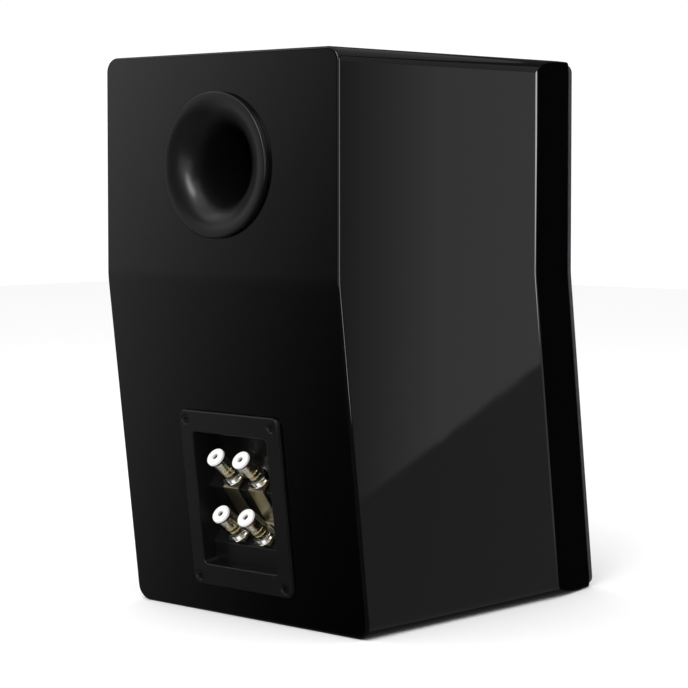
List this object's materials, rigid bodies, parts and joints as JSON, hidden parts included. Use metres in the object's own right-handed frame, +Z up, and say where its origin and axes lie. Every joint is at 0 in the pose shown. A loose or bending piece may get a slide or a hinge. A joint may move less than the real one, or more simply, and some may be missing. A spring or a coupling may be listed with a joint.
{
  "type": "bookshelf speaker",
  "caption": "Rear-ported two-way bookshelf speaker with a bent gloss box, recessed screw terminals joined by straps, and a magnetic cloth grille.",
  "frame": {"origin": "middle of the bounding box at the base", "axes": "+Z up; the back with the port and the terminals faces +Y, the grille faces -Y, +X is the right side seen from the front"},
  "size_m": [0.2216, 0.2902, 0.3835],
  "materials": {
    "gloss_lacquer": "gloss",
    "matt_lacquer": "satin",
    "bare_fibreboard": "matte",
    "damping_foam": "matte",
    "bright_steel": "satin",
    "satin_moulding": "satin",
    "sealing_foam": "matte",
    "black_steel": "satin",
    "plated_brass": "polished",
    "strap_brass": "polished",
    "nickel_plate": "polished",
    "clear_plastic": "gloss",
    "red_plastic": "gloss",
    "black_plastic": "gloss",
    "white_plastic": "gloss",
    "painted_steel": "satin",
    "ferrite": "matte",
    "plain_steel": "satin",
    "surround_rubber": "satin",
    "spider_cloth": "matte",
    "cone_pulp": "matte",
    "copper_winding": "satin",
    "faceplate_plastic": "satin",
    "dome_silk": "satin",
    "circuit_board": "satin",
    "capacitor_film": "gloss",
    "wire_insulation": "satin",
    "frame_plastic": "matte",
    "grille_cloth": "matte"
  },
  "bodies": {
    "cabinet": {"left_side_panel": "gloss_lacquer", "right_side_panel": "gloss_lacquer", "top_panel": "gloss_lacquer", "bottom_panel": "gloss_lacquer", "rear_panel": "gloss_lacquer", "front_baffle": "matt_lacquer", "window_brace": "bare_fibreboard", "damping_lining": "damping_foam", "rim_magnets": "bright_steel", "port_flange": "satin_moulding", "port_tube": "satin_moulding", "terminal_cup": "satin_moulding", "terminal_gasket": "sealing_foam", "terminal_screws": "black_steel", "post_studs": "plated_brass", "post_nuts": "bright_steel", "jumper_strap_positive": "strap_brass", "jumper_strap_negative": "strap_brass", "woofer_basket": "painted_steel", "woofer_magnet": "ferrite", "woofer_motor_steel": "plain_steel", "woofer_screws": "black_steel", "woofer_surround": "surround_rubber", "woofer_spider": "spider_cloth", "tweeter_faceplate": "faceplate_plastic", "tweeter_motor": "painted_steel", "tweeter_screws": "black_steel", "crossover_board": "circuit_board", "crossover_inductors": "copper_winding", "crossover_capacitors": "capacitor_film", "internal_wiring": "wire_insulation"},
    "woofer_cone_assembly": {"woofer_cone": "cone_pulp", "woofer_dust_cap": "cone_pulp", "woofer_voice_coil": "copper_winding"},
    "tweeter_dome_assembly": {"tweeter_dome": "dome_silk", "tweeter_coil": "copper_winding"},
    "grille": {"grille_frame": "frame_plastic", "grille_cloth": "grille_cloth", "grille_magnets": "bright_steel"},
    "clamp_1": {"clamp_washer_1": "plated_brass"},
    "knob_1": {"knob_core_1": "nickel_plate", "knob_sleeve_1": "clear_plastic", "knob_band_1": "red_plastic", "knob_cap_1": "white_plastic"},
    "clamp_2": {"clamp_washer_2": "plated_brass"},
    "knob_2": {"knob_core_2": "nickel_plate", "knob_sleeve_2": "clear_plastic", "knob_band_2": "black_plastic", "knob_cap_2": "white_plastic"},
    "clamp_3": {"clamp_washer_3": "plated_brass"},
    "knob_3": {"knob_core_3": "nickel_plate", "knob_sleeve_3": "clear_plastic", "knob_band_3": "red_plastic", "knob_cap_3": "white_plastic"},
    "clamp_4": {"clamp_washer_4": "plated_brass"},
    "knob_4": {"knob_core_4": "nickel_plate", "knob_sleeve_4": "clear_plastic", "knob_band_4": "black_plastic", "knob_cap_4": "white_plastic"}
  },
  "joints": [
    {"name": "grille_pull", "type": "slide", "parent": "cabinet", "child": "grille", "axis": [0, -1, 0], "range_m": [0, 0.06]},
    {"name": "woofer_stroke", "type": "slide", "parent": "cabinet", "child": "woofer_cone_assembly", "axis": [0, -0.9924, 0.1233], "range_m": [-0.005, 0.005], "stiffness_N_per_m": 1100, "deforming": ["woofer_surround", "woofer_spider"]},
    {"name": "tweeter_stroke", "type": "slide", "parent": "cabinet", "child": "tweeter_dome_assembly", "axis": [0, -1, 0], "range_m": [-0.0003, 0.0003], "stiffness_N_per_m": 200},
    {"name": "knob_travel_1", "type": "slide", "parent": "cabinet", "child": "clamp_1", "axis": [0, 0.7889, 0.6146], "range_m": [0, 0.006]},
    {"name": "knob_turn_1", "type": "hinge", "parent": "clamp_1", "child": "knob_1", "pos_m": [-0.0121, 0.10973, 0.0947], "axis": [0, 0.7889, 0.6146], "range_deg": [0, 2160.01]},
    {"name": "knob_travel_2", "type": "slide", "parent": "cabinet", "child": "clamp_2", "axis": [0, 0.7889, 0.6146], "range_m": [0, 0.006]},
    {"name": "knob_turn_2", "type": "hinge", "parent": "clamp_2", "child": "knob_2", "pos_m": [0.0121, 0.10973, 0.0947], "axis": [0, 0.7889, 0.6146], "range_deg": [0, 2160.01]},
    {"name": "knob_travel_3", "type": "slide", "parent": "cabinet", "child": "clamp_3", "axis": [0, 0.7889, 0.6146], "range_m": [0, 0.006]},
    {"name": "knob_turn_3", "type": "hinge", "parent": "clamp_3", "child": "knob_3", "pos_m": [-0.0121, 0.10485, 0.05541], "axis": [0, 0.7889, 0.6146], "range_deg": [0, 2160.01]},
    {"name": "knob_travel_4", "type": "slide", "parent": "cabinet", "child": "clamp_4", "axis": [0, 0.7889, 0.6146], "range_m": [0, 0.006]},
    {"name": "knob_turn_4", "type": "hinge", "parent": "clamp_4", "child": "knob_4", "pos_m": [0.0121, 0.10485, 0.05541], "axis": [0, 0.7889, 0.6146], "range_deg": [0, 2160.01]}
  ],
  "couplings": [
    {"joint": "knob_turn_1", "follows": "knob_travel_1", "rad_per_m": 6283.2},
    {"joint": "knob_turn_2", "follows": "knob_travel_2", "rad_per_m": 6283.2},
    {"joint": "knob_turn_3", "follows": "knob_travel_3", "rad_per_m": 6283.2},
    {"joint": "knob_turn_4", "follows": "knob_travel_4", "rad_per_m": 6283.2}
  ]
}
